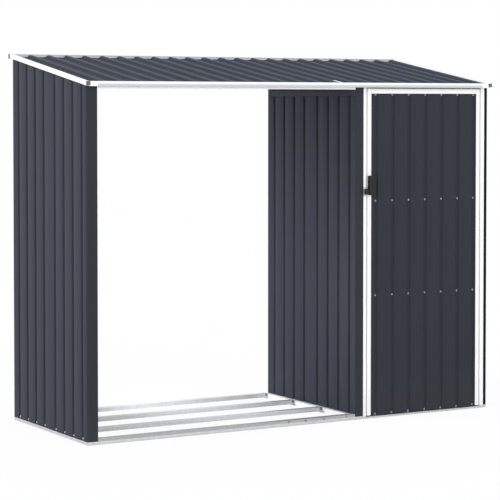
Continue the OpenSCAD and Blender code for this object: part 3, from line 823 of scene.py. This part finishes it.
# Painted shade on the front rail and painted light on the rails behind it: darker and lighter copies of the
# zinc.
front_rail_shaded_finish = zinc("galvanised_front_rail_painted_shade", (0.41, 0.415, 0.425, 1.0), **CHANNEL_ZINC)
rail_lit_finish = zinc("galvanised_rail_painted_light", (0.66, 0.665, 0.68, 1.0), **CHANNEL_ZINC)
cap_finish = moulded("grey_moulding", (0.10, 0.10, 0.105, 1.0), **CAP_PLASTIC)
# Painted shade: grey for the rail end plates, which stand for the dark open ends of the rails.
rail_end_shade_finish = moulded("rail_end_painted_shade", (0.18, 0.18, 0.185, 1.0), **CAP_PLASTIC)
latch_finish = moulded("black_moulding", (0.022, 0.022, 0.022, 1.0), **LATCH_PLASTIC)
print("zinc finishes", zinc_finish.name, screw_finish.name, front_rail_shaded_finish.name, rail_lit_finish.name)
print("moulded finishes", cap_finish.name, rail_end_shade_finish.name, latch_finish.name)

# %% Give every piece its finish
finish_of_slot = {"anthracite_sheet": wall_finish, "white_frame": white_finish, "zinc_channel": zinc_finish,
                  "grey_end_cap": cap_finish, "black_latch": latch_finish}
UPPER_FACE = 0.3


def dress(piece, material):
    """Makes one material the only one on a piece."""
    piece.data.materials.clear()
    piece.data.materials.append(material)


for name, node in nodes.items():
    finish = finish_of_slot[slot_of[name]]
    if name.startswith("roof_"):
        finish = roof_lit_and_shaded_finish
    # The back trim gets the white with painted shade.
    if name == "back_trim":
        finish = eave_shaded_finish
    # The header gets the white with painted light.
    if name == "bay_header":
        finish = header_lit_finish
    # Door and front flanges get the copy of the coat with painted shade.
    if name == "door_sheet" or name.endswith("front_flange"):
        finish = front_shaded_finish
    if name.startswith("floor_rail"):
        finish = front_rail_shaded_finish if name == "floor_rail_1" else rail_lit_finish
    for wall in ribbed_shaded_finishes:
        if name.startswith(wall) and name.endswith("_sheet"):
            finish = ribbed_shaded_finishes[wall]
    dress(node, finish)
    if name in formed_pieces:
        dress(formed_pieces[name], finish)
# Painted shade: the faces of the eave trims that do not look up get the greyer copy of the white coat.
for name in ("eave_trim_left", "eave_trim_right"):
    trim = formed_pieces[name].data
    trim.materials.append(eave_shaded_finish)
    for face in trim.polygons:
        face.material_index = int(face.normal.z < UPPER_FACE)
for piece in screw_pieces:
    dress(piece, screw_finish)
for piece in wall_screw_pieces + [keeper]:
    dress(piece, zinc_finish)
for piece in latch_pieces:
    dress(piece, latch_finish)
for piece in plug_pieces:
    dress(piece, rail_end_shade_finish)
print("dressed", len(nodes), "nodes")

# %% [markdown]
# ## Studio
# The store stands on a plain white floor under a soft sky. A sun from the left gives the left wall its light
# and the roof's ribs their shade, and a wide one from the front right lights the door. A low, weak sun and a
# spot lamp inside the log bay light the partition under the roof. The world is white for the camera and for
# reflections, and a little darker as a light.

# %% Floor
FLOOR_SIZE = 60.0
FLOOR_DROP = 0.3 * MM
bpy.ops.object.select_all(action="DESELECT")
bpy.ops.mesh.primitive_plane_add(size=FLOOR_SIZE, location=(0.0, 0.0, -FLOOR_DROP))
floor = bpy.context.active_object
floor.name = "studio_floor"
PAPER = (0.92, 0.92, 0.92, 1.0)
PAPER_ROUGHNESS = 0.9
PAPER_GLOW = 0.95
floor_material, floor_tree, floor_shader, _ = new_material("studio_paper", 0.0)
floor_shader.inputs["Base Color"].default_value = PAPER
floor_shader.inputs["Roughness"].default_value = PAPER_ROUGHNESS
glow = floor_tree.nodes.new("ShaderNodeEmission")
glow.inputs["Strength"].default_value = 1.0
paper = floor_tree.nodes.new("ShaderNodeMixShader")
rays = floor_tree.nodes.new("ShaderNodeLightPath")
seen = math_node(floor_tree, "MULTIPLY", rays.outputs["Is Camera Ray"], PAPER_GLOW)
floor_tree.links.new(seen, paper.inputs[0])
floor_tree.links.new(floor_shader.outputs[0], paper.inputs[1])
floor_tree.links.new(glow.outputs[0], paper.inputs[2])
floor_tree.links.new(paper.outputs[0], floor_tree.nodes["Material Output"].inputs["Surface"])
dress(floor, floor_material)
print("floor", FLOOR_SIZE, "m wide")

# %% World and lamps
SKY = 0.75
SKY_COLOUR = (0.97, 0.985, 1.0, 1.0)
WHITE_SKY_COLOUR = (1.0, 1.0, 1.0, 1.0)
world = bpy.data.worlds.new("studio")
world.use_nodes = True
bpy.context.scene.world = world
sky_tree = world.node_tree
sky = sky_tree.nodes["Background"]
sky.inputs["Color"].default_value = SKY_COLOUR
sky.inputs["Strength"].default_value = SKY
white_sky = sky_tree.nodes.new("ShaderNodeBackground")
white_sky.inputs["Color"].default_value = WHITE_SKY_COLOUR
white_sky.inputs["Strength"].default_value = 1.0
sky_mix = sky_tree.nodes.new("ShaderNodeMixShader")
sky_rays = sky_tree.nodes.new("ShaderNodeLightPath")
camera_or_glossy = math_node(sky_tree, "MAXIMUM", sky_rays.outputs["Is Camera Ray"],
                             sky_rays.outputs["Is Glossy Ray"])
plain_rays = math_node(sky_tree, "MAXIMUM", camera_or_glossy, sky_rays.outputs["Is Transmission Ray"])
sky_tree.links.new(plain_rays, sky_mix.inputs[0])
sky_tree.links.new(sky.outputs[0], sky_mix.inputs[1])
sky_tree.links.new(white_sky.outputs[0], sky_mix.inputs[2])
sky_tree.links.new(sky_mix.outputs[0], sky_tree.nodes["World Output"].inputs["Surface"])


def soft_sun(name, towards, level, spread_degrees, colour):
    """A sun that lights a facing white surface to a level, with a soft edge."""
    lamp = bpy.data.lights.new(name, "SUN")
    lamp.color = colour
    lamp.energy = level * math.pi
    lamp.angle = math.radians(spread_degrees)
    holder = bpy.data.objects.new(name, lamp)
    bpy.context.scene.collection.objects.link(holder)
    holder.rotation_mode = "QUATERNION"
    holder.rotation_quaternion = Vector(towards).normalized().to_track_quat("Z", "Y")


COOL = (0.96, 0.98, 1.0)
PLAIN = (1.0, 0.99, 0.98)
soft_sun("left_sun", towards=(-0.90, 0.05, 0.48), level=0.45, spread_degrees=20.0, colour=COOL)
soft_sun("front_sun", towards=(0.45, -0.85, 0.10), level=0.35, spread_degrees=60.0, colour=PLAIN)
soft_sun("bay_sun", towards=(-0.80, -0.58, 0.12), level=0.17, spread_degrees=40.0, colour=COOL)

BAY_LAMP = Vector((-0.95, 0.36, 0.54))
BAY_AIM = Vector((0.33, 0.36, 0.46))
BAY_WATTS = 42.0
BAY_SPOT = math.radians(120.0)
BAY_BLEND = 0.7
BAY_RADIUS = 0.12
bay_lamp = bpy.data.lights.new("bay_lamp", "SPOT")
bay_lamp.energy = BAY_WATTS
bay_lamp.color = COOL
bay_lamp.spot_size = BAY_SPOT
bay_lamp.spot_blend = BAY_BLEND
bay_lamp.shadow_soft_size = BAY_RADIUS
bay_holder = bpy.data.objects.new("bay_lamp", bay_lamp)
bpy.context.scene.collection.objects.link(bay_holder)
bay_holder.location = BAY_LAMP
bay_holder.visible_camera = False
bay_holder.rotation_mode = "QUATERNION"
bay_holder.rotation_quaternion = (BAY_LAMP - BAY_AIM).to_track_quat("Z", "Y")
print("sky", SKY, "and", len(bpy.data.lights), "lamps")

# %% [markdown]
# ## Camera
# The picture was taken with a long lens, level, from a little below the roof's height, and shows uprights as
# parallel. A full lens shift would do the same, but would push the object out of the frame in other views. A
# smaller shift with a slight tilt keeps the uprights within about a pixel and a half of parallel.

# %% Camera
CAMERA_PLACE = (-4.8895, -8.3988, 1.5625)
CAMERA_YAW = math.radians(-30.027)
CAMERA_TILT = math.radians(2.115)
LEVEL = math.radians(90)
SENSOR_WIDTH = 36.0
LENS = 139.418
SHIFT_X = 0.00219
SHIFT_Y = -0.15
FAR_CLIP = 200.0
camera = bpy.data.cameras.new("camera")
camera.sensor_width = SENSOR_WIDTH
camera.lens = LENS
camera.shift_x = SHIFT_X
camera.shift_y = SHIFT_Y
camera.clip_end = FAR_CLIP
camera_holder = bpy.data.objects.new("camera", camera)
bpy.context.scene.collection.objects.link(camera_holder)
camera_holder.location = CAMERA_PLACE
camera_holder.rotation_euler = (LEVEL - CAMERA_TILT, 0.0, CAMERA_YAW)
bpy.context.scene.camera = camera_holder
bpy.context.scene.view_settings.view_transform = "Standard"
print("camera at", CAMERA_PLACE, "lens", camera.lens)
